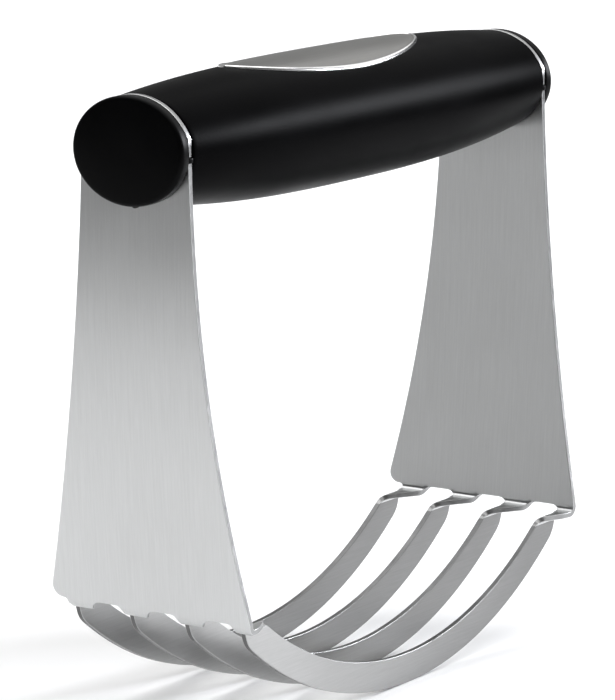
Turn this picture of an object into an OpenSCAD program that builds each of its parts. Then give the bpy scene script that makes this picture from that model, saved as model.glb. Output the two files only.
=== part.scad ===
// Pastry blender: a folded steel frame with four curved blades, carried by an oval barrel grip.
// X runs along the grip, Y across the blades, Z up. The blades' lowest points touch Z = 0.

/* [Grip] */
// Length of the grip between the two side plates
grip_len = 122; // [118:1:126]
// Half width of the grip at its ends, across the blades
grip_end_w = 12.1; // [11.8:0.1:12.4]
// Half height of the grip at its ends
grip_end_h = 9.9; // [9.7:0.1:10.2]
// Half width of the grip in the middle
grip_mid_w = 15.2; // [14:0.2:16]
// Height of the grip's crown above its axis in the middle
grip_crown = 12.2; // [11.4:0.2:12.6]
// Depth of the grip's belly below its axis in the middle
grip_belly = 13.4; // [12.6:0.2:14]
// How flat the barrel stays before it tapers to its ends
barrel_power = 2.7; // [2:0.1:3.4]
// Length of the oval badge set into the crown
badge_len = 62.4; // [58:0.4:66]
// Width of the badge at its middle
badge_w = 19.6; // [18:0.4:20.8]
// Offset of the badge from the middle of the grip, negative towards the left side plate
badge_x = -2; // [-4:0.2:4]

/* [Frame] */
// Height of the grip's axis above the lowest point of the blades
axis_h = 108.4; // [105:0.2:112]
// Thickness of the steel sheet
sheet_t = 1.1; // [0.9:0.05:1.2]
// Half width of each side plate where it leaves the grip
plate_top_w = 11.6; // [11.2:0.1:11.8]
// Radius of the concave flare of the side plates' edges
flare_r = 411; // [380:1:460]
// Radius of the gentle inward curve of the side plates
bow_r = 645; // [600:5:800]
// Radius of the rounded lower corner of each side plate, beyond blade 1
corner_r = 2.6; // [1.5:0.1:3]

/* [Blades] */
// Radius of the blades' lower edges
blade_r = 88.2; // [87:0.2:90]
// Width of a blade from its lower to its upper edge
blade_w = 5.9; // [5.4:0.1:6.4]
// Distance from one blade to the next
blade_pitch = 12.3; // [12:0.1:12.6]
// Width of the folded tab that carries each end of a blade
tab_w = 6.3; // [5.6:0.1:6.6]
// Reach of each tab from its side plate to the blade's upper corner
tab_reach = 7.4; // [6.8:0.1:7.8]

/* [End caps] */
// How far each cap stands out from its side plate
cap_t = 2.9; // [2.6:0.1:3.2]

/* [Hidden] */

steel = [0.74, 0.75, 0.74];
grip_black = [0.04, 0.04, 0.045];
cap_black = [0.03, 0.03, 0.03];

half_len = grip_len / 2;
plate_out = half_len + sheet_t;
bow_top = axis_h - 17;
flare_top = axis_h + 8;
bend_r = 0.9;
tab_top = 22.9;
plate_foot = tab_top + bend_r;
foot_drop = bow_top - plate_foot;
foot_x = half_len - bow_r + sqrt(pow(bow_r, 2) - pow(foot_drop, 2));
foot_w = plate_top_w + flare_r - sqrt(pow(flare_r, 2) - pow(flare_top - plate_foot, 2));
blank_w = foot_w + 1;
plate_crown = 10;
plate_crown_r = 13;
blade_end_x = 55.6;
blade_y = [1.5, 0.5, -0.5, -1.5] * blade_pitch;
tab_side = sheet_t / 2;
arc_fn = 720;
small_fn = 48;

core_r = 7.4;
core_spread = 2.4;
shank_r = 1.75;
screw_len = 16;
head_r = 4.2;
head_h = 1.5;
peg_r = 1.2;
peg_y = 6.6;
peg_len = 5;
fit_gap = 0.05;

badge_proud = 0.5;
badge_t = 1.2;
pad_t = 0.4;

ring_sides = 48;
barrel_steps = 26;

// Share of the barrel's swelling that is left at a distance x from the middle
function swell(x) = 1 - pow(min(1, abs(x) / half_len), barrel_power);

// One ring of a body lofted along X: [x, half width, height above the axis, depth below the axis]
function grip_ring(x, grow) = [
    x,
    grip_end_w + (grip_mid_w - grip_end_w) * swell(x) + grow,
    grip_end_h + (grip_crown - grip_end_h) * swell(x) + grow,
    grip_end_h + (grip_belly - grip_end_h) * swell(x) + grow
];

function ring_point(ring, angle) = [
    ring[0],
    ring[1] * cos(angle),
    axis_h + (sin(angle) > 0 ? ring[2] : ring[3]) * sin(angle)
];

// A closed solid through a row of oval rings that are spaced along X
module loft(rings) {
    count = len(rings);
    side = [for (r = [0 : count - 2], s = [0 : ring_sides - 1], half = [0, 1])
        let (a = r * ring_sides + s, b = r * ring_sides + (s + 1) % ring_sides)
            half == 0 ? [a, a + ring_sides, b + ring_sides] : [a, b + ring_sides, b]];
    first = [[for (s = [0 : ring_sides - 1]) s]];
    last = [[for (s = [ring_sides - 1 : -1 : 0]) (count - 1) * ring_sides + s]];
    points = [for (r = rings, s = [0 : ring_sides - 1]) ring_point(r, s * 360 / ring_sides)];
    polyhedron(points, concat(side, first, last), convexity = 4);
}

module barrel(grow = 0) {
    loft([for (i = [0 : barrel_steps]) grip_ring(half_len * (2 * i / barrel_steps - 1), grow)]);
}

// The oval outline of the badge, as a tall prism over the crown
module badge_prism() {
    translate([badge_x, 0, axis_h])
        linear_extrude(height = 20)
            scale([badge_len / badge_w, 1])
                circle(r = badge_w / 2, $fn = 96);
}

// A cylinder that lies along X
module x_cylinder(r, x0, x1, y = 0) {
    translate([x0, y, axis_h])
        rotate([0, 90, 0])
            cylinder(r = r, h = x1 - x0, $fn = small_fn);
}

// Front outline of a side plate, drawn in Y and Z
module plate_outline() {
    intersection() {
        difference() {
            translate([-blank_w, plate_foot])
                square([2 * blank_w, axis_h + plate_crown - plate_foot]);
            for (side = [-1, 1])
                translate([side * (plate_top_w + flare_r), flare_top])
                    circle(r = flare_r, $fn = arc_fn);
            corner_cut();
        }
        union() {
            translate([0, axis_h + plate_crown - plate_crown_r])
                circle(r = plate_crown_r, $fn = 180);
            translate([-blank_w, plate_foot])
                square([2 * blank_w, axis_h - plate_foot]);
        }
    }
}

// The sliver taken off the lower corner beyond blade 1 to round it
module corner_cut() {
    difference() {
        translate([foot_w - corner_r / 2, plate_foot + corner_r / 2])
            square(corner_r + 0.001, center = true);
        translate([foot_w - corner_r, plate_foot + corner_r])
            circle(r = corner_r, $fn = small_fn);
    }
}

// Side profile of a right-hand plate, drawn in X and Z: straight, then curving inwards
module plate_profile() {
    translate([half_len, bow_top])
        square([sheet_t, axis_h + plate_crown - bow_top]);
    intersection() {
        translate([half_len - bow_r, bow_top])
            difference() {
                circle(r = bow_r + sheet_t, $fn = arc_fn);
                circle(r = bow_r, $fn = arc_fn);
            }
        translate([half_len - 10, plate_foot])
            square([20, foot_drop]);
    }
}

// Quarter bend from the plate's foot into a tab, drawn in X and Z
module bend_profile() {
    intersection() {
        difference() {
            circle(r = bend_r + sheet_t, $fn = small_fn);
            circle(r = bend_r, $fn = small_fn);
        }
        translate([0, -2 * bend_r - sheet_t])
            square(2 * bend_r + sheet_t);
    }
}

// The edge of a tab furthest from its blade, kept just inside the width of the plate's foot
function tab_low(y) = max(y - tab_w, 0.3 - foot_w);

// One tab: a bend under the plate and a flat corner piece that reaches in to its blade
module tab(y) {
    low = tab_low(y);
    translate([foot_x - bend_r, y + tab_side, plate_foot])
        rotate([90, 0, 0])
            linear_extrude(height = y + tab_side - low)
                bend_profile();
    translate([0, 0, tab_top - sheet_t])
        linear_extrude(height = sheet_t)
            polygon([
                [foot_x - bend_r, y + tab_side],
                [blade_end_x, y + tab_side],
                [blade_end_x, y - tab_side],
                [foot_x - tab_reach, y - tab_side],
                [foot_x - bend_r, low]
            ]);
}

module side_plate() {
    color(steel)
        difference() {
            union() {
                intersection() {
                    translate([0, blank_w, 0])
                        rotate([90, 0, 0])
                            linear_extrude(height = 2 * blank_w)
                                plate_profile();
                    rotate([90, 0, 90])
                        linear_extrude(height = plate_out + 1)
                            plate_outline();
                }
                for (y = blade_y)
                    tab(y);
            }
            x_cylinder(shank_r + 2 * fit_gap, half_len - 1, plate_out + 1);
            for (side = [-1, 1])
                x_cylinder(peg_r + fit_gap, half_len - 1, plate_out + 1, side * peg_y);
        }
}

module right_side_plate() {
    side_plate();
}

module left_side_plate() {
    mirror([1, 0, 0])
        side_plate();
}

// A ring sector on edge, cut off level with the tabs that carry it
module blade(y) {
    color(steel)
        translate([0, y + sheet_t / 2, 0])
            rotate([90, 0, 0])
                linear_extrude(height = sheet_t)
                    intersection() {
                        translate([0, blade_r])
                            difference() {
                                circle(r = blade_r, $fn = arc_fn);
                                circle(r = blade_r - blade_w, $fn = arc_fn);
                            }
                        translate([-blade_end_x, 0])
                            square([2 * blade_end_x, tab_top]);
                    }
}

module grip_core() {
    color("dimgray")
        difference() {
            translate([-half_len, 0, axis_h])
                rotate([90, 0, 90])
                    linear_extrude(height = grip_len)
                        core_section();
            for (side = [-1, 1])
                mirror([side < 0 ? 1 : 0, 0, 0])
                    core_bores();
        }
}

// Stadium-shaped section of the core, drawn in Y and Z
module core_section() {
    translate([-core_spread, -core_r])
        square([2 * core_spread, 2 * core_r]);
    for (side = [-1, 1])
        translate([side * core_spread, 0])
            circle(r = core_r, $fn = small_fn);
}

// The screw hole and the two peg holes in one end of the core
module core_bores() {
    x_cylinder(shank_r + fit_gap, half_len - screw_len - 1, half_len + 1);
    for (side = [-1, 1])
        x_cylinder(peg_r + fit_gap, half_len - peg_len - 1, half_len + 1, side * peg_y);
}

module soft_grip() {
    color(grip_black)
        difference() {
            barrel();
            translate([-half_len - 1, 0, axis_h])
                rotate([90, 0, 90])
                    linear_extrude(height = grip_len + 2)
                        core_section();
            difference() {
                badge_prism();
                barrel(badge_proud - badge_t - pad_t);
            }
        }
}

module badge() {
    color("silver")
        intersection() {
            badge_prism();
            difference() {
                barrel(badge_proud);
                barrel(badge_proud - badge_t);
            }
        }
}

module badge_pad() {
    color("white")
        intersection() {
            badge_prism();
            difference() {
                barrel(badge_proud - badge_t);
                barrel(badge_proud - badge_t - pad_t);
            }
        }
}

// A ring of the end cap: how far it stands out and how far it draws in from the widest line
function cap_ring(out, inset) = [
    plate_out + out,
    grip_end_w - inset,
    grip_end_h - inset,
    grip_end_h - inset
];

module end_cap() {
    edge = 0.9;
    color(cap_black)
        difference() {
            union() {
                loft(concat(
                    [cap_ring(0, 0.3), cap_ring(0.3, 0)],
                    [for (a = [0 : 15 : 90]) cap_ring(cap_t - 0.3 - edge * (1 - sin(a)), edge * (1 - cos(a)))],
                    [cap_ring(cap_t - 0.08, edge + 1.8), cap_ring(cap_t, edge + 3.6)]
                ));
                for (side = [-1, 1])
                    x_cylinder(peg_r, plate_out - sheet_t - peg_len, plate_out + 0.5, side * peg_y);
            }
            x_cylinder(head_r + 0.4, plate_out - 1, plate_out + head_h + 0.3);
        }
}

module right_end_cap() {
    end_cap();
}

module left_end_cap() {
    mirror([1, 0, 0])
        end_cap();
}

module screw() {
    slot_w = 1;
    color("gainsboro")
        difference() {
            union() {
                x_cylinder(head_r, plate_out, plate_out + head_h);
                x_cylinder(shank_r, half_len - screw_len, plate_out + 0.1);
            }
            translate([plate_out + head_h, 0, axis_h])
                cube([1.4, slot_w, 2 * head_r + 1], center = true);
        }
}

module right_screw() {
    screw();
}

module left_screw() {
    mirror([1, 0, 0])
        screw();
}

left_side_plate();
right_side_plate();
blade(blade_y[0]);  // blade_1
blade(blade_y[1]);  // blade_2
blade(blade_y[2]);  // blade_3
blade(blade_y[3]);  // blade_4
grip_core();
soft_grip();
badge();
badge_pad();
left_end_cap();
right_end_cap();
left_screw();
right_screw();
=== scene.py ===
import math

import bmesh
import bpy
import numpy as np
from mathutils import Matrix, Vector
from mathutils.geometry import delaunay_2d_cdt


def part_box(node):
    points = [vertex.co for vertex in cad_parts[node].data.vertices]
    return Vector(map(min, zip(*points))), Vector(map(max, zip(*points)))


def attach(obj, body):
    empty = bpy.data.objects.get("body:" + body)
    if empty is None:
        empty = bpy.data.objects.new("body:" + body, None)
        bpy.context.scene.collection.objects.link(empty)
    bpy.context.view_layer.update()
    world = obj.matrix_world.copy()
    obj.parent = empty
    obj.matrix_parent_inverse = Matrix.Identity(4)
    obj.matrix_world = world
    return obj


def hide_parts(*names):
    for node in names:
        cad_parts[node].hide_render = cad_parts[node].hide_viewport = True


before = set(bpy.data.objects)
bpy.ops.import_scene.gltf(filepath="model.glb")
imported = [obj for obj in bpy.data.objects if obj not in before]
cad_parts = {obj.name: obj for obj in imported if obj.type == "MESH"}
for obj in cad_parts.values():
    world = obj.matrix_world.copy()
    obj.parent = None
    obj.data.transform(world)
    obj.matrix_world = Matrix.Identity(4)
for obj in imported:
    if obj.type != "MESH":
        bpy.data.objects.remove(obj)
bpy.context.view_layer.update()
scene = bpy.context.scene
MM = 0.001

# Sizes in mm, as in the CAD source except for the roundings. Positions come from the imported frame's
# boxes.
cap_low, cap_high = (np.array(p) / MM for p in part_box("right_end_cap"))
AXIS = float(cap_low[2] + cap_high[2]) / 2  # height of the grip's axis
grip_low, grip_high = (np.array(p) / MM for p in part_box("soft_grip"))
HALF = float(grip_high[0] - grip_low[0]) / 2  # half the grip's length
SHEET = 1.1  # thickness of the steel
BLADE_Y = [18.45, 6.15, -6.15, -18.45]
BOW_R = 645.0  # the side plates' gentle inward curve, which starts BOW_DROP below the axis
BOW_DROP = 17.0
BEND_R = 1.45  # bend from side plate to tab, at the middle of the sheet
FOLD_R = 1.0  # fold from tab to blade, at the middle of the sheet
TAB_Z = 22.35  # height of the tabs' middle
RING_R = 88.2  # radius of a blade's lower edge
RING_W = 5.9  # a blade's width
RING_LIFT = 0.03  # keeps the blades' lower edges just above the floor
FLARE_R = 411.0  # concave side edges of the side plates, upright at FLARE_TOP
FLARE_TOP = AXIS + 8
TOP_W = 11.6  # half width of a side plate at its top
CROWN_R = 13.0  # rounded top of a side plate, which ends CROWN_RISE above the axis
CROWN_RISE = 10
CORNER_R = 2.2  # rounded lower corner beyond blade 1
BEVEL = 0.14  # rounding of the sheet's cut edges
UV_PER_MM = 0.01


# ---------------------------------------------------------------- mesh helpers

def make_object(name, verts, faces, normals=None, uv=None, face_mats=None):
    """A smooth mesh object from points in mm. normals and uv, if given, hold one entry per vertex."""
    mesh = bpy.data.meshes.new(name)
    points = [tuple(float(c) * MM for c in p) for p in verts]
    mesh.from_pydata(points, [], [list(map(int, f)) for f in faces])
    for polygon in mesh.polygons:
        polygon.use_smooth = True
    if uv is not None:
        layer = mesh.uv_layers.new(name="grain")
        for loop in mesh.loops:
            point = uv[loop.vertex_index]
            layer.data[loop.index].uv = (float(point[0]), float(point[1]))
    if face_mats is not None:
        for polygon, index in zip(mesh.polygons, face_mats):
            polygon.material_index = int(index)
    mesh.validate()
    mesh.update()
    if normals is not None:
        mesh.normals_split_custom_set_from_vertices([tuple(map(float, n)) for n in normals])
    obj = bpy.data.objects.new(name, mesh)
    scene.collection.objects.link(obj)
    return obj


def unit(a):
    return a / np.maximum(np.linalg.norm(a, axis=-1, keepdims=True), 1e-12)


def ring_faces(count, sides):
    """Quads between rings of vertices laid one after another."""
    faces = []
    for r in range(count - 1):
        for s in range(sides):
            a = r * sides + s
            b = r * sides + (s + 1) % sides
            faces.append([a, b, b + sides, a + sides])
    return faces


def end_faces(count, sides):
    """The two faces that close a stack of rings, the last ring's first."""
    last = (count - 1) * sides
    return [list(range(last, last + sides)), list(range(sides))[::-1]]


def full_turn(sides):
    return np.arange(sides) * 2 * math.pi / sides


def fix_normals(obj, sharp=35):
    """Turns all faces outwards and marks the edges that bend by more than sharp degrees."""
    bm = bmesh.new()
    bm.from_mesh(obj.data)
    bmesh.ops.recalc_face_normals(bm, faces=bm.faces)
    for e in bm.edges:
        if len(e.link_faces) == 2 and e.calc_face_angle(0) > math.radians(sharp):
            e.smooth = False
    bm.to_mesh(obj.data)
    bm.free()
    return obj


def spline(points, step):
    """A smooth open curve through the points, sampled about every step mm."""
    pts = np.array(points, float)
    pad = np.vstack([2 * pts[0] - pts[1], pts, 2 * pts[-1] - pts[-2]])
    out = []
    for i in range(len(pts) - 1):
        p0, p1, p2, p3 = pad[i:i + 4]
        n = max(2, int(np.linalg.norm(p2 - p1) / step))
        for t in np.arange(n) / n:
            out.append(0.5 * (2 * p1 + (p2 - p0) * t + (2 * p0 - 5 * p1 + 4 * p2 - p3) * t ** 2
                              + (3 * p1 - p0 - 3 * p2 + p3) * t ** 3))
    out.append(pts[-1])
    return np.array(out)


# ---------------------------------------------------------------- the folded frame
# The frame is one flat blank that is bent and folded. A point of the blank is (u, v): u runs from
# the middle of the blades outwards and up the side plate, v runs across the blades.

BOW_MID = BOW_R + SHEET / 2
BOW_X = HALF - BOW_R
BOW_Z = AXIS - BOW_DROP
BOW_ANGLE = math.asin((BOW_Z - TAB_Z - BEND_R) / (BOW_MID - BEND_R))
BEND_ANGLE = math.pi / 2 - BOW_ANGLE
BEND_X = BOW_X + (BOW_MID - BEND_R) * math.cos(BOW_ANGLE)
FOOT_U = BEND_X + BEND_R * BEND_ANGLE
BOW_TOP_U = FOOT_U + BOW_MID * BOW_ANGLE
AXIS_U = BOW_TOP_U + BOW_DROP
FOLD_LEN = FOLD_R * math.pi / 2
STRIP_END = 48  # where the strips leave their circles and run into the tabs
# the middle line of a tab beyond there, with v measured from the blade's plane
PAST_U = [STRIP_END, 50, 52.7, 54.3, 55.2, 56.6]
PAST_V = [4.15, 2.8, 1.1, -0.15, -1.35, -2.3]
UNFOLD_U = 55.2  # where a fold starts to flatten out, over UNFOLD_LEN
UNFOLD_LEN = 1.2
AT_MIDDLE = 1e-6  # points of the blank nearer to u = 0 than this lie on the cut between the halves


def strip_edges(u):
    """Where a strip's inner and outer edge lie in the blank, measured from its blade's plane."""
    base = -FOLD_R + FOLD_LEN + TAB_Z - FOLD_R - RING_R
    least = 900.0  # keeps the roots real beyond the ends of the circles
    inner = base + np.sqrt(np.maximum((RING_R - RING_W) ** 2 - u ** 2, least))
    outer = base - RING_LIFT + np.sqrt(np.maximum(RING_R ** 2 - u ** 2, least))
    return inner, outer


def place(u, v):
    """Where the middle of the sheet goes for points of the blank's right half."""
    u = np.asarray(u, float)
    v = np.asarray(v, float)
    # side plate, bow and bend
    side = np.clip((u - BEND_X) / BEND_R, 0, BEND_ANGLE)
    x = BEND_X + BEND_R * np.sin(side)
    z = TAB_Z + BEND_R * (1 - np.cos(side))
    rise = np.clip((u - FOOT_U) / BOW_MID, 0, BOW_ANGLE)
    on_bow = u > FOOT_U
    x = np.where(on_bow, BOW_X + BOW_MID * np.cos(BOW_ANGLE - rise), x)
    z = np.where(on_bow, BOW_Z - BOW_MID * np.sin(BOW_ANGLE - rise), z)
    z = z + np.maximum(u - BOW_TOP_U, 0)
    x = np.where(u < BEND_X, u, x)
    y = v.copy()
    # tabs and blades: each point belongs to the strip whose middle line is nearest
    ys = np.array(BLADE_Y)
    inner, outer = strip_edges(np.minimum(u, STRIP_END))
    middle = np.where(u < STRIP_END, (inner + outer) / 2, np.interp(u, PAST_U, PAST_V))
    nearest = np.argmin(np.abs(v[..., None] - ys - middle[..., None]), axis=-1)
    fold_v = ys[nearest] - FOLD_R
    w = v - fold_v
    t = np.clip((u - UNFOLD_U) / UNFOLD_LEN, 0, 1)
    s = np.maximum(1 - t * t * (3 - 2 * t), 1e-4)  # 1 where fully folded, 0 where flat
    arc = np.clip(w / FOLD_R, 0, math.pi / 2)
    past = np.maximum(w - FOLD_LEN, 0)
    across = fold_v + FOLD_R * np.sin(s * arc) / s + past * np.cos(s * math.pi / 2)
    down = FOLD_R * (1 - np.cos(s * arc)) / s
    folded = (u < BEND_X + 0.2) & (w > 0)
    y = np.where(folded, across, y)
    z = np.where(folded, z - down - past * np.sin(s * math.pi / 2), z)
    return np.stack([x, y, z], axis=-1)


def slope(u, v):
    """Directions of rising u and rising v on the folded sheet, and its normal."""
    e = 1e-3
    pu = unit(place(u + e, v) - place(u - e, v))
    pv = unit(place(u, v + e) - place(u, v - e))
    return pu, pv, unit(np.cross(pu, pv))


def plate_half_width(u):
    """Half width of the side plate at a point of the blank."""
    z = place(np.atleast_1d(float(u)), np.zeros(1))[0, 2]
    return TOP_W + FLARE_R - math.sqrt(FLARE_R ** 2 - (FLARE_TOP - min(z, FLARE_TOP)) ** 2)


def corner(centre, radius, start, end, steps=7):
    """Points on an arc, from one angle in degrees to another."""
    angles = np.radians(np.linspace(start, end, steps))
    return [(centre[0] + radius * math.cos(a), centre[1] + radius * math.sin(a)) for a in angles]


# The cut edges beside a tab, as (u, v) with v measured from the blade's plane, or None where the
# curve still lies on the strip's circle. OUTER_END is the blade's rounded outer end and the tab's near
# side, DIAGONAL the tab's far side, and LAST_DIAGONAL the same for blade 4, at the plate's corner.
ARCH_U = FOOT_U + 0.1
SIDE_V = -0.05
EDGE_V = -FOLD_R + FOLD_LEN
OUTER_START = 52.0
OUTER_END = [(OUTER_START, None), (53.35, None), (54.3, EDGE_V + 2.35), (54.85, EDGE_V + 1.35),
             (55.15, EDGE_V + 0.55), (55.5, SIDE_V + 0.3), (56.1, SIDE_V)]
INNER_START = 46.5
DIAGONAL = [(INNER_START, None), (47.9, None), (50.3, -0.95), (52.7, -2.2), (54.8, -3.5),
            (56.6, -4.7), (57.9, -5.5), (58.55, -6.3), (ARCH_U, -7.4)]
LAST_DIAGONAL = [(INNER_START, None), (47.9, None), (50.3, -0.95), (52.4, -2.0), (54.6, -2.95),
                 (56.9, -3.43), (58.9, -3.62)]


def edge_points(curve, which):
    """Fills in the points of a curve that lie on a strip's inner (0) or outer (1) circle."""
    out = []
    for u, v in curve:
        if v is None:
            v = strip_edges(np.array(float(u)))[which]
        out.append((u, float(v)))
    return out


def outer_edge(y, r=1.5):
    """From the middle of a blade along its lower edge and the tab's near side to the arch."""
    us = np.linspace(0, OUTER_START, 66)[:-1]
    run = np.stack([us, strip_edges(us)[1]], -1)
    end = spline(edge_points(OUTER_END, 1), 0.3)
    arch = corner((ARCH_U - r, SIDE_V + r), r, -90, 0)
    return np.vstack([run, end, arch]) + [0, y]


def inner_edge(y, diagonal=DIAGONAL):
    """From the middle of a blade along its upper edge and the tab's far side to the side plate."""
    us = np.linspace(0, INNER_START, 60)[:-1]
    run = np.stack([us, strip_edges(us)[0]], -1)
    end = spline(edge_points(diagonal, 0), 0.4)
    return np.vstack([run, end]) + [0, y]


def blank_outline():
    """The outline of the blank's right half, from blade 1 round the side plate and back."""
    path = list(outer_edge(BLADE_Y[0], 0.8))
    # the corner ends where the plate's edge leans by 13 degrees: 0.225 and 0.974 are its sine and cosine
    foot = plate_half_width(ARCH_U + 1.225 * CORNER_R)
    path += corner((ARCH_U + CORNER_R, foot - 0.974 * CORNER_R), CORNER_R, 180, 77, 10)
    us = np.arange(ARCH_U + 2 * CORNER_R, AXIS_U + 3.4, 1.6)
    path += [(u, plate_half_width(u)) for u in us]
    half_angle = math.degrees(math.asin((TOP_W - 0.3) / CROWN_R))
    path += corner((AXIS_U + CROWN_RISE - CROWN_R, 0), CROWN_R, half_angle, -half_angle, 33)
    path += [(u, -plate_half_width(u)) for u in us[::-1]]
    path += list(inner_edge(BLADE_Y[3], LAST_DIAGONAL)[::-1])
    for upper, lower in ((2, 3), (1, 2), (0, 1)):
        path += list(outer_edge(BLADE_Y[lower]))
        path += list(inner_edge(BLADE_Y[upper])[::-1])
    return np.array(path, float)


def chain_normals(points):
    """Outward direction at each point of a loop that keeps the sheet on its right hand, and how much
    further a sharp corner has to move along it."""
    before = np.roll(points, 1, 0)
    after = np.roll(points, -1, 0)
    d1 = unit(points - before)
    d2 = unit(after - points)
    n1 = np.stack([-d1[:, 1], d1[:, 0]], -1)
    n2 = np.stack([-d2[:, 1], d2[:, 0]], -1)
    at_cut = points[:, 0] < AT_MIDDLE
    cut1 = at_cut & (before[:, 0] < AT_MIDDLE)
    cut2 = at_cut & (after[:, 0] < AT_MIDDLE)
    n1[cut1] = n2[cut1]
    n2[cut2] = n1[cut2]
    n = unit(n1 + n2)
    scale = 1 / np.maximum(np.sum(n * n1, -1), 0.6)
    n[at_cut] = np.stack([np.zeros(at_cut.sum()), np.sign(n[at_cut, 1])], -1)
    scale[at_cut] = 1
    return n, scale


def inside(points, loop):
    """Which points lie inside a closed loop."""
    x, y = points[:, 0][:, None], points[:, 1][:, None]
    x1, y1 = loop[:, 0], loop[:, 1]
    x2, y2 = np.roll(x1, -1), np.roll(y1, -1)
    crosses = (y1 > y) != (y2 > y)
    with np.errstate(divide="ignore", invalid="ignore"):
        at = x1 + (y - y1) / (y2 - y1) * (x2 - x1)
    return np.sum(crosses & (x < at), axis=1) % 2 == 1


def clearance(points, loop):
    """Distance from each point to the nearest side of a loop."""
    best = np.full(len(points), 1e9)
    for a, b in zip(loop, np.roll(loop, -1, 0)):
        d = b - a
        t = np.clip(((points - a) @ d) / max(d @ d, 1e-12), 0, 1)
        best = np.minimum(best, np.linalg.norm(points - (a + t[:, None] * d), axis=1))
    return best


def guide_points():
    """Points inside the blank: rows along the bend, the folds and the strips, and a grid on the plate."""
    guide = []
    for u in np.linspace(BEND_X, FOOT_U, 7):
        guide += [(u, v) for v in np.arange(-25, 25, 1.1)]
    for u in (BEND_X - 0.5, BEND_X - 1.0, FOOT_U + 0.6, FOOT_U + 1.4):
        guide += [(u, v) for v in np.arange(-25, 25, 1.3)]
    for y in BLADE_Y:
        for w in np.linspace(0, FOLD_LEN, 7):
            guide += [(u, y - FOLD_R + w) for u in np.arange(46.0, 56.4, 0.6)]
        for part in (0.12, 0.3, 0.5, 0.7, 0.88):
            for u in np.arange(0.8, 53.5, 1.1):
                low, high = strip_edges(np.array(u))
                v = low + (high - low) * part
                if v > EDGE_V + 0.3:
                    guide.append((u, y + float(v)))
        guide += [(u, y + v) for u in np.arange(50.5, 56, 1.2) for v in np.arange(-5, -1.4, 1.1)]
    for u in np.arange(FOOT_U + 3, AXIS_U + CROWN_RISE, 2.6):
        guide += [(u, v) for v in np.arange(-24, 24.1, 2.4)]
    return np.array(guide)


def blank_mesh():
    """Flat triangles of the blank's right half, inset by the bevel, and its boundary loop."""
    loop = blank_outline()
    keep = np.linalg.norm(loop - np.roll(loop, 1, 0), axis=1) > 0.05
    loop = loop[keep]
    n, scale = chain_normals(loop)
    loop = loop - n * (BEVEL * scale)[:, None]
    guide = guide_points()
    guide = guide[inside(guide, loop)]
    guide = guide[clearance(guide, loop) > 0.32]
    # drop guides that nearly coincide
    cell = 0.22
    cells = {}
    for p in guide:
        cells.setdefault((round(p[0] / cell), round(p[1] / cell)), p)
    points = [Vector(p) for p in np.vstack([loop, list(cells.values())])]
    edges = [(i, (i + 1) % len(loop)) for i in range(len(loop))]
    result = delaunay_2d_cdt(points, edges, [list(range(len(loop)))], 1, 1e-5)
    flat = np.array([tuple(v) for v in result[0]])
    faces = [list(f) for f in result[2]]
    # the boundary's points in order, with the sheet on the right hand
    sides = {pair: True for f in faces for pair in zip(f, f[1:] + f[:1])}
    border = {b: a for (a, b) in sides if (b, a) not in sides}
    order = [next(iter(border))]
    while border[order[-1]] != order[0] and len(order) < len(flat):
        order.append(border[order[-1]])
    return flat, faces, np.array(order)


def build_frame():
    """Both faces of the folded sheet, joined round the border by a rounded edge, and the mirrored half."""
    flat, faces, border = blank_mesh()
    mid = place(flat[:, 0], flat[:, 1])
    pu, pv, normal = slope(flat[:, 0], flat[:, 1])
    count = len(flat)
    half = SHEET / 2
    edge = flat[border]
    out2, scale = chain_normals(edge)
    out3 = unit(out2[:, :1] * pu[border] + out2[:, 1:] * pv[border])
    verts = [mid + normal * half, mid - normal * half]
    norms = [normal, -normal]
    uvs = [flat, flat]
    rings = []
    at = 2 * count
    n_b = normal[border]
    for sign, angle in ((1, 45), (1, 90), (-1, 90), (-1, 45)):
        c, s = math.cos(math.radians(angle)), math.sin(math.radians(angle))
        lift = sign * (half - BEVEL + BEVEL * c)
        verts.append(mid[border] + n_b * lift + out3 * (BEVEL * s * scale)[:, None])
        norms.append(unit(n_b * sign * c + out3 * s))
        uvs.append(edge + out2 * BEVEL * s)
        rings.append(np.arange(len(border)) + at)
        at += len(border)
    rings = [border] + rings + [border + count]
    tris = faces + [[i + count for i in f[::-1]] for f in faces]
    mats = [0] * len(tris)
    cut = edge[:, 0] < AT_MIDDLE
    for r in range(len(rings) - 1):
        for i in range(len(border)):
            j = (i + 1) % len(border)
            if cut[i] and cut[j]:
                continue
            tris.append([rings[r][i], rings[r][j], rings[r + 1][j], rings[r + 1][i]])
            mats.append(1 if r == 2 else 0)  # the middle band is the sheared edge itself
    verts = np.vstack(verts)
    norms = np.vstack(norms)
    uvs = np.vstack(uvs)
    # mirrored left half, sharing the vertices in the plane x = 0
    seam = np.abs(verts[:, 0]) < 1e-5
    other = np.where(seam, np.arange(len(verts)), np.cumsum(~seam) - 1 + len(verts))
    norms[seam, 0] = 0
    all_verts = np.vstack([verts, verts[~seam] * [-1, 1, 1]])
    all_norms = unit(np.vstack([norms, norms[~seam] * [-1, 1, 1]]))
    all_uvs = np.vstack([uvs, uvs[~seam] * [-1, 1]]) * UV_PER_MM
    all_tris = tris + [[int(other[i]) for i in f[::-1]] for f in tris]
    # the faces turn the way that the first one's normal points
    a, b, c = verts[tris[0][:3]]
    if np.cross(b - a, c - a) @ norms[tris[0][0]] < 0:
        all_tris = [t[::-1] for t in all_tris]
    return make_object("blade_frame", all_verts, all_tris, all_norms, all_uvs, mats + mats)


# ---------------------------------------------------------------- the grip

GRIP_END_W, GRIP_END_H = 12.1, 9.9  # half width and half height at the grip's ends
SWELL_W, SWELL_UP, SWELL_DOWN = 3.1, 2.3, 3.5  # how much more it has in the middle
SWELL_POWER = 2.7
CORE_R, CORE_SPREAD = 7.4, 2.4


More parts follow.
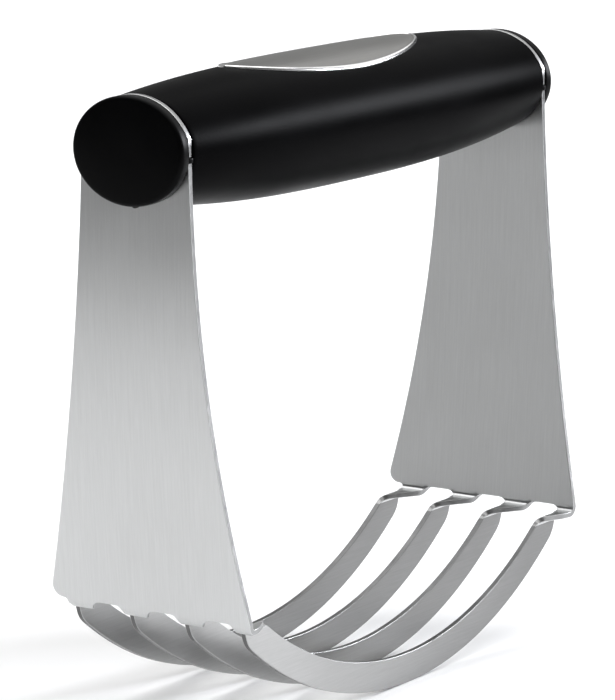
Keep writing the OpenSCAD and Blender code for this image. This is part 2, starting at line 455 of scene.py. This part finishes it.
def grip_radii(x):
    """Half width, height above the axis and depth below it, at a distance x from the middle."""
    k = 1 - np.minimum(1, np.abs(x) / HALF) ** SWELL_POWER
    return GRIP_END_W + SWELL_W * k, GRIP_END_H + SWELL_UP * k, GRIP_END_H + SWELL_DOWN * k


def crown_height(x, y):
    """Height of the grip's crown over a point."""
    wide, up, _ = grip_radii(x)
    return AXIS + up * np.sqrt(np.maximum(1 - (y / wide) ** 2, 0))


def build_grip():
    """The soft sleeve: a barrel with softly rounded ends and a bore for the core."""
    sides = 128
    a = full_turn(sides)
    # the sleeve's ends are drawn in by up to 0.35 mm over the last 0.4 mm
    xs = [-HALF, -HALF + 0.02, -HALF + 0.1, -HALF + 0.22, -HALF + 0.4]
    draw = [0.35, 0.24, 0.12, 0.04, 0]
    inner_x = np.linspace(-HALF + 1.2, HALF - 1.2, 91)
    xs = xs + list(inner_x) + [-x for x in xs[::-1]]
    draw = draw + [0] * len(inner_x) + draw[::-1]
    verts = []
    for x, d in zip(xs, draw):
        wide, up, down = grip_radii(x)
        z = np.where(np.sin(a) > 0, up - d, down - d) * np.sin(a)
        verts.append(np.stack([np.full(sides, x), (wide - d) * np.cos(a), AXIS + z], -1))
    for x in (HALF, -HALF):
        y = CORE_SPREAD * np.clip(np.cos(a) * 3, -1, 1) + CORE_R * np.cos(a)
        verts.append(np.stack([np.full(sides, x), y, AXIS + CORE_R * np.sin(a)], -1))
    faces = ring_faces(len(verts), sides)
    last = (len(verts) - 1) * sides
    faces += [[last + s, last + (s + 1) % sides, (s + 1) % sides, s] for s in range(sides)]
    return fix_normals(make_object("soft_grip_sleeve", np.vstack(verts), faces))


# ---------------------------------------------------------------- the badge

badge_low, badge_high = (np.array(p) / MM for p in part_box("badge"))
BADGE_X = (badge_low[0] + badge_high[0]) / 2
BADGE_L, BADGE_W = (badge_high[:2] - badge_low[:2]) / 2
BADGE_SIDES = 240
RIM_W = 0.85
RIM_STEPS = 9  # how many bands of the profile belong to the polished rim


def badge_ring(inset):
    """One loop of the badge's oval: drawn in evenly over the rim, then shrinking to the middle."""
    rim = min(inset, RIM_W)
    shrink = 1 - max(inset - RIM_W, 0) / (BADGE_W - RIM_W)
    t = full_turn(BADGE_SIDES)
    c, s = np.cos(t), np.sin(t)
    power = 2 / 1.9  # a little slimmer towards its ends than an ellipse
    x = (BADGE_L - rim) * shrink * np.sign(c) * np.abs(c) ** power
    y = (BADGE_W - rim) * shrink * np.sign(s) * np.abs(s) ** power
    return np.stack([x, y], -1)


def build_badge():
    # inset from the edge and height above the grip's crown, from the buried wall to the middle
    profile = [(0.0, -0.6), (0.0, 0.1), (0.03, 0.22), (0.1, 0.33), (0.2, 0.41), (0.32, 0.45),
               (0.45, 0.46), (0.57, 0.45), (0.67, 0.4), (0.73, 0.32), (0.79, 0.27), (RIM_W, 0.26),
               (1.1, 0.28), (1.5, 0.3)]
    profile += [(e, 0.3) for e in (2.2, 3.0, 3.9, 4.9, 5.9, 6.9, 7.9, 8.7, 9.3, 9.65)]
    verts = []
    uv = []
    for inset, rise in profile:
        ring = badge_ring(inset)
        x, y = ring[:, 0], ring[:, 1]
        z = crown_height(x + BADGE_X, y) + rise
        verts.append(np.stack([x + BADGE_X, y, z], -1))
        uv.append(np.stack([x, y], -1) * UV_PER_MM)
    count = len(profile)
    faces = ring_faces(count, BADGE_SIDES) + end_faces(count, BADGE_SIDES)
    rim_faces = RIM_STEPS * BADGE_SIDES
    mats = [0] * rim_faces + [1] * ((count - 1) * BADGE_SIDES - rim_faces) + [1, 0]
    obj = make_object("badge_plate", np.vstack(verts), faces, uv=np.vstack(uv), face_mats=mats)
    return fix_normals(obj, 50)


# ---------------------------------------------------------------- the end caps

CAP_W = 12.08
CAP_BASE = HALF + SHEET
# moulded nibs that clip over the sheet's edge beside and below a cap: place across and above the
# axis, direction away from the axis, and half length
NIBS = [(-11.55, -1.0, -1, 0, 0.6), (11.55, -1.0, 1, 0, 0.6), (-0.5, -9.75, 0, -1, 0.55)]
NIB_SIDES = 12


def nib(y0, z0, ny, nz, half):
    """One small pillow-shaped nib, as rings along x, and its faces."""
    reach = 0.9 if nz else 0
    stations = [(HALF - 0.05, -0.25), (HALF + 0.12, 0), (CAP_BASE - 0.12, 0), (CAP_BASE + 0.25, -0.25)]
    rows = []
    for x, grow in stations:
        for t in np.linspace(0, 2 * math.pi, NIB_SIDES + 1)[:-1]:
            along = (half + grow) * math.cos(t)
            away = 0.1 + (0.42 + grow) * math.sin(t)
            rows.append((x + reach, y0 + ny * away + nz * along, AXIS + z0 + nz * away + ny * along))
    count = len(stations)
    return np.array(rows), ring_faces(count, NIB_SIDES) + end_faces(count, NIB_SIDES)


def build_cap(side, name):
    """An oval cap with a rounded edge and a barely domed face, and its nibs. side is -1 or 1."""
    sides = 128
    a = full_turn(sides)
    out = float(cap_high[0]) - CAP_BASE
    edge = 0.85
    dome = 0.5
    # distance out from the side plate and inset from the cap's outline
    profile = [(0.0, 0.22), (0.12, 0.08), (0.3, 0.0)]
    profile += [(out - dome - edge * (1 - math.sin(t)), edge * (1 - math.cos(t)))
                for t in np.linspace(0, math.radians(84), 10)]
    start, inset = profile[-1]
    profile += [(out - (out - start) * (1 - f) ** 2, inset + (9.2 - inset) * f)
                for f in np.linspace(0.1, 1, 10)]
    rings = []
    for depth, inset in profile:
        y = (CAP_W - inset) * np.cos(a)
        z = (GRIP_END_H - inset) * np.sin(a)
        rings.append(np.stack([np.full(sides, CAP_BASE + depth), y, AXIS + z], -1))
    shell = ring_faces(len(rings), sides) + end_faces(len(rings), sides)
    verts, faces, at = [], [], 0
    for points, part_faces in [(np.vstack(rings), shell)] + [nib(*values) for values in NIBS]:
        verts.append(points * [side, 1, 1])
        faces += [[i + at for i in f] for f in part_faces]
        at += len(points)
    return fix_normals(make_object(name, np.vstack(verts), faces))


# ---------------------------------------------------------------- materials

class Nodes:
    """Short calls for building one material's node tree."""

    def __init__(self, name):
        self.mat = bpy.data.materials.new(name)
        self.mat.use_nodes = True
        self.tree = self.mat.node_tree
        self.shader = self.tree.nodes["Principled BSDF"]

    def node(self, kind, **values):
        n = self.tree.nodes.new(kind)
        for key, value in values.items():
            setattr(n, key, value)
        return n

    def link(self, a, b):
        self.tree.links.new(a, b)

    def scaled(self, vector, scale):
        mapping = self.node("ShaderNodeMapping")
        mapping.inputs["Scale"].default_value = scale
        self.link(vector, mapping.inputs["Vector"])
        return mapping.outputs["Vector"]

    def uv(self, scale):
        return self.scaled(self.node("ShaderNodeUVMap", uv_map="grain").outputs["UV"], scale)

    def object(self, scale=(1, 1, 1)):
        return self.scaled(self.node("ShaderNodeTexCoord").outputs["Object"], scale)

    def noise(self, vector, scale, detail, rough):
        n = self.node("ShaderNodeTexNoise")
        n.inputs["Scale"].default_value = scale
        n.inputs["Detail"].default_value = detail
        n.inputs["Roughness"].default_value = rough
        self.link(vector, n.inputs["Vector"])
        return n.outputs["Fac"]

    def ramp(self, fac, stops):
        r = self.node("ShaderNodeValToRGB")
        ramp = r.color_ramp
        while len(ramp.elements) < len(stops):
            ramp.elements.new(0.5)
        for element, (pos, col) in zip(ramp.elements, stops):
            element.position = pos
            element.color = (*col, 1)
        self.link(fac, r.inputs["Fac"])
        return r.outputs["Color"]

    def spread(self, fac, low, high, from_low=0.3, from_high=0.7):
        m = self.node("ShaderNodeMapRange")
        m.inputs["From Min"].default_value = from_low
        m.inputs["From Max"].default_value = from_high
        m.inputs["To Min"].default_value = low
        m.inputs["To Max"].default_value = high
        self.link(fac, m.inputs["Value"])
        return m.outputs["Result"]

    def bump(self, height, strength, distance):
        b = self.node("ShaderNodeBump")
        b.inputs["Strength"].default_value = strength
        b.inputs["Distance"].default_value = distance
        self.link(height, b.inputs["Height"])
        return b.outputs["Normal"]

    def mix(self, a, b, amount, blend="MIX"):
        m = self.node("ShaderNodeMix", data_type="RGBA", blend_type=blend)
        m.inputs["Factor"].default_value = amount
        self.link(a, m.inputs["A"])
        self.link(b, m.inputs["B"])
        return m.outputs["Result"]

    def colour(self, fac, low, high):
        """Base colour that runs from low to high over the middle of a noise."""
        self.link(self.ramp(fac, [(0.3, low), (0.7, high)]), self.shader.inputs["Base Color"])

    def finish(self, roughness, bump, **values):
        """Links roughness and normal, sets the uniform inputs and returns the material."""
        self.link(roughness, self.shader.inputs["Roughness"])
        self.link(bump, self.shader.inputs["Normal"])
        for key, value in values.items():
            self.shader.inputs[key].default_value = value
        return self.mat


def grey(v, tint=(1.0, 1.0, 1.0)):
    return tuple(v * t for t in tint)


def shade(colour, amount):
    return tuple(c * amount for c in colour)


def brushed_steel(name, light, dark, rough, grain=1.0, end_shade_share=None):
    """Brushed sheet: fine and medium lines along u of the blank, with broad soft variation.
    The last argument, if given, is the share of its brightness that is left at the right-hand ends of
    the blades: painted shade, which darkens the colour towards those ends."""
    m = Nodes(name)
    fine = m.noise(m.uv((9.0, 330.0, 1.0)), 3.0, 3, 0.6)
    medium = m.noise(m.uv((2.2, 90.0, 1.0)), 3.0, 3, 0.5)
    broad = m.noise(m.uv((2.5, 5.0, 1.0)), 2.0, 2, 0.5)
    lines = m.node("ShaderNodeMath", operation="ADD")
    m.link(fine, lines.inputs[0])
    m.link(medium, lines.inputs[1])
    half = m.node("ShaderNodeMath", operation="MULTIPLY")
    half.inputs[1].default_value = 0.5
    m.link(lines.outputs[0], half.inputs[0])
    between = tuple((a + b) / 2 for a, b in zip(light, dark))
    streak = m.ramp(half.outputs[0], [(0.32, dark), (0.5, between), (0.68, light)])
    cloud = m.ramp(broad, [(0.3, shade(light, 0.93)), (0.7, light)])
    colour = m.mix(streak, cloud, 0.4)
    # painted shade: the colour darkens along u to the given share at the blades' right-hand ends
    if end_shade_share:
        along = m.node("ShaderNodeSeparateXYZ")
        m.link(m.uv((1.0, 1.0, 1.0)), along.inputs["Vector"])
        from_left = m.spread(along.outputs["X"], 0, 1, -0.45, 0.45)
        shade_fade = m.ramp(from_left, [(0.0, grey(1.0)), (1.0, grey(end_shade_share))])
        colour = m.mix(colour, shade_fade, 1.0, "MULTIPLY")
    m.link(colour, m.shader.inputs["Base Color"])
    return m.finish(m.spread(broad, rough - 0.02, rough + 0.03), m.bump(medium, 0.05 * grain, 0.00005),
                    Metallic=1.0)


def cut_edge(name, dark, light):
    """The sheared edge of the sheet, with fine marks."""
    m = Nodes(name)
    marks = m.noise(m.object(), 1500.0, 3, 0.6)
    wide = m.noise(m.object(), 160.0, 2, 0.5)
    m.colour(wide, grey(dark), grey(light))
    return m.finish(m.spread(marks, 0.28, 0.42), m.bump(marks, 0.15, 0.00004), Metallic=1.0)


def soft_black(name, base, rough, ior, grain_scale, strength):
    """Soft-touch or moulded black: a fine even grain and faint rubbed patches."""
    m = Nodes(name)
    grain = m.noise(m.object(), grain_scale, 2, 0.5)
    patch = m.noise(m.object(), 55.0, 3, 0.5)
    m.colour(patch, shade(base, 0.75), shade(base, 1.35))
    return m.finish(m.spread(patch, rough - 0.05, rough + 0.05), m.bump(grain, strength, 0.00008), IOR=ior)


def foam_pad(name):
    """Pale foam tape with fine cells."""
    m = Nodes(name)
    cells = m.node("ShaderNodeTexVoronoi")
    cells.inputs["Scale"].default_value = 1800.0
    m.link(m.object(), cells.inputs["Vector"])
    depth = cells.outputs["Distance"]
    m.link(m.ramp(depth, [(0.0, grey(0.6)), (1.0, grey(0.8))]), m.shader.inputs["Base Color"])
    m.link(m.bump(depth, 0.3, 0.0001), m.shader.inputs["Normal"])
    m.shader.inputs["Roughness"].default_value = 0.9
    return m.mat


def turned_steel(name):
    """A screw's steel, with turning marks round x."""
    m = Nodes(name)
    turn = m.noise(m.object((900, 60, 60)), 1.0, 3, 0.6)
    m.colour(turn, grey(0.5), grey(0.72))
    return m.finish(m.spread(turn, 0.25, 0.4), m.bump(turn, 0.1, 0.00005), Metallic=1.0)


COOL, NEUTRAL, WARM = (0.99, 1.0, 1.0), (1.0, 1.0, 0.995), (1, 0.99, 0.955)

plate_steel = brushed_steel("brushed_plate", grey(0.66, COOL), grey(0.555, COOL), 0.3)
# painted shade: the blades' steel and edge are darker copies of the plates' and fade towards +X
shaded_blade_steel = brushed_steel("brushed_blade_shaded", grey(0.50, NEUTRAL), grey(0.38, NEUTRAL), 0.3, 1.6, 0.46)
edge_steel = cut_edge("cut_edge", 0.26, 0.38)
shaded_blade_edge = cut_edge("blade_cut_edge_shaded", 0.11, 0.17)
badge_face = brushed_steel("badge_face", grey(0.25, WARM), grey(0.185, WARM), 0.34, 0.8)
badge_rim = brushed_steel("badge_rim", grey(0.9), grey(0.84), 0.16, 0.1)
rubber = soft_black("soft_rubber", (0.0008, 0.0008, 0.0010), 0.36, 1.065, 2600.0, 0.16)
cap_black = soft_black("cap_plastic", (0.0012, 0.0012, 0.0014), 0.38, 1.14, 1800.0, 0.08)
core_black = soft_black("core_plastic", (0.12, 0.12, 0.125), 0.55, 1.45, 1200.0, 0.1)
pad_white = foam_pad("adhesive_pad")
screw_steel = turned_steel("screw_steel")


# ---------------------------------------------------------------- put together

frame_piece = build_frame()
for material in (plate_steel, edge_steel, shaded_blade_steel, shaded_blade_edge):
    frame_piece.data.materials.append(material)
for polygon in frame_piece.data.polygons:
    if polygon.center.z < (TAB_Z - FOLD_R) * MM:
        polygon.material_index += 2  # below the folds: painted shade, darker copies of steel and edge
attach(frame_piece, "root")
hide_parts("left_side_plate", "right_side_plate", "blade_1", "blade_2", "blade_3", "blade_4")

sleeve = build_grip()
sleeve.data.materials.append(rubber)
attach(sleeve, "root")
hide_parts("soft_grip")

badge = build_badge()
badge.data.materials.append(badge_rim)
badge.data.materials.append(badge_face)
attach(badge, "root")
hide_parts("badge")

for side, name, cad_node in ((-1, "left_cap_shell", "left_end_cap"),
                             (1, "right_cap_shell", "right_end_cap")):
    cap = build_cap(side, name)
    cap.data.materials.append(cap_black)
    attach(cap, "root")
    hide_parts(cad_node)

for cad_node, material in (("grip_core", core_black), ("badge_pad", pad_white),
                           ("left_screw", screw_steel), ("right_screw", screw_steel)):
    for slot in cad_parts[cad_node].material_slots:
        slot.material = material


# ---------------------------------------------------------------- floor, light and camera

def floor_material():
    m = Nodes("pale_floor")
    m.colour(m.noise(m.object(), 3.0, 2, 0.5), grey(0.93), grey(0.95))
    m.shader.inputs["Roughness"].default_value = 0.9
    m.shader.inputs["Specular IOR Level"].default_value = 0.1
    return m.mat


def flat_card(name, corners):
    """One flat rectangle of the studio, from its corners in metres."""
    mesh = bpy.data.meshes.new(name)
    mesh.from_pydata(corners, [], [(0, 1, 2, 3)])
    obj = bpy.data.objects.new(name, mesh)
    scene.collection.objects.link(obj)
    return obj


floor = flat_card("floor", [(-6, -6, 0), (6, -6, 0), (6, 6, 0), (-6, 6, 0)])
floor.data.materials.append(floor_material())

scene.view_settings.view_transform = "Standard"
world = bpy.data.worlds.new("studio")
scene.world = world
world.use_nodes = True
tree = world.node_tree
background = tree.nodes["Background"]
# the studio is brighter towards +X and +Y and dimmer on the side of the left plate
direction = tree.nodes.new("ShaderNodeTexCoord")
facing = tree.nodes.new("ShaderNodeVectorMath")
facing.operation = "DOT_PRODUCT"
facing.inputs[1].default_value = (0.83, 0.56, 0.0)
level = tree.nodes.new("ShaderNodeMapRange")
level.interpolation_type = "SMOOTHSTEP"
for socket, value in (("From Min", -0.9), ("From Max", 0.9), ("To Min", 0.10), ("To Max", 0.36)):
    level.inputs[socket].default_value = value
tree.links.new(direction.outputs["Generated"], facing.inputs[0])
tree.links.new(facing.outputs["Value"], level.inputs["Value"])
tree.links.new(level.outputs["Result"], background.inputs["Strength"])
background.inputs["Color"].default_value = (1.0, 1.0, 1.0, 1)


def softbox(name, at, look, size, power):
    """A soft rectangular light that faces the point look. Sizes in metres, power in watts."""
    data = bpy.data.lights.new(name, "AREA")
    data.shape = "RECTANGLE"
    data.size, data.size_y = size
    data.energy = power
    obj = bpy.data.objects.new(name, data)
    obj.location = at
    obj.rotation_euler = (Vector(look) - Vector(at)).to_track_quat("-Z", "Y").to_euler()
    scene.collection.objects.link(obj)
    return obj


softbox("overhead", (0.4, 0.3, 2.5), (0.4, 0.3, 0), (4.0, 4.0), 95)
softbox("rim_card", (1.7, 0.0, 1.15), (0, 0, 0.1), (1.4, 0.5), 2)
grip_card = softbox("grip_card", (1.3, -0.9, 0.52), (0, 0, 0.12), (0.6, 0.22), 32)
grip_card.data.color = (0.93, 0.95, 1.0)


def dark_flag(name, x, low_y, high_y, height):
    """An upright black card that only reflections see: it gives the bright steel some dark to mirror."""
    obj = flat_card(name, [(x, low_y, 0.0), (x, high_y, 0.0), (x, high_y, height), (x, low_y, height)])
    m = Nodes(name)
    m.colour(m.noise(m.object(), 4.0, 4, 0.55), grey(0.02), grey(0.025))
    m.shader.inputs["Roughness"].default_value = 1.0
    obj.data.materials.append(m.mat)
    obj.visible_camera = False
    obj.visible_diffuse = False
    obj.visible_shadow = False


dark_flag("left_flag", -0.44, -0.5, 1.1, 0.9)
dark_flag("right_flag", 0.47, -0.7, 0.15, 0.3)

# the camera's direction, and its place from a target between the side plates, in metres
AIM_DROP = 0.054545
DISTANCE, SLIDE_LEFT, SLIDE_UP = 0.8040, 0.013656, 0.004828
yaw, pitch, roll = math.radians(34.0536), math.radians(10.9466), math.radians(-0.1261)
heading = Vector((math.cos(yaw), math.sin(yaw), 0))
right = Vector((math.sin(yaw), -math.cos(yaw), 0))
forward = heading * math.cos(pitch) - Vector((0, 0, 1)) * math.sin(pitch)
up = right.cross(forward)
cam_right = right * math.cos(roll) + up * math.sin(roll)
cam_up = up * math.cos(roll) - right * math.sin(roll)
target = Vector((0, 0, AXIS * MM - AIM_DROP))
position = target - forward * DISTANCE - cam_right * SLIDE_LEFT + cam_up * SLIDE_UP
camera_data = bpy.data.cameras.new("camera")
camera_data.sensor_width = 36.0
camera_data.lens = 216.13
camera_data.shift_x = 0.0763
camera_data.shift_y = 0.0287
camera_data.clip_start = 0.01
camera_data.clip_end = 100
camera = bpy.data.objects.new("camera", camera_data)
basis = Matrix((cam_right, cam_up, -forward)).transposed().to_4x4()
camera.matrix_world = Matrix.Translation(position) @ basis
scene.collection.objects.link(camera)
scene.camera = camera
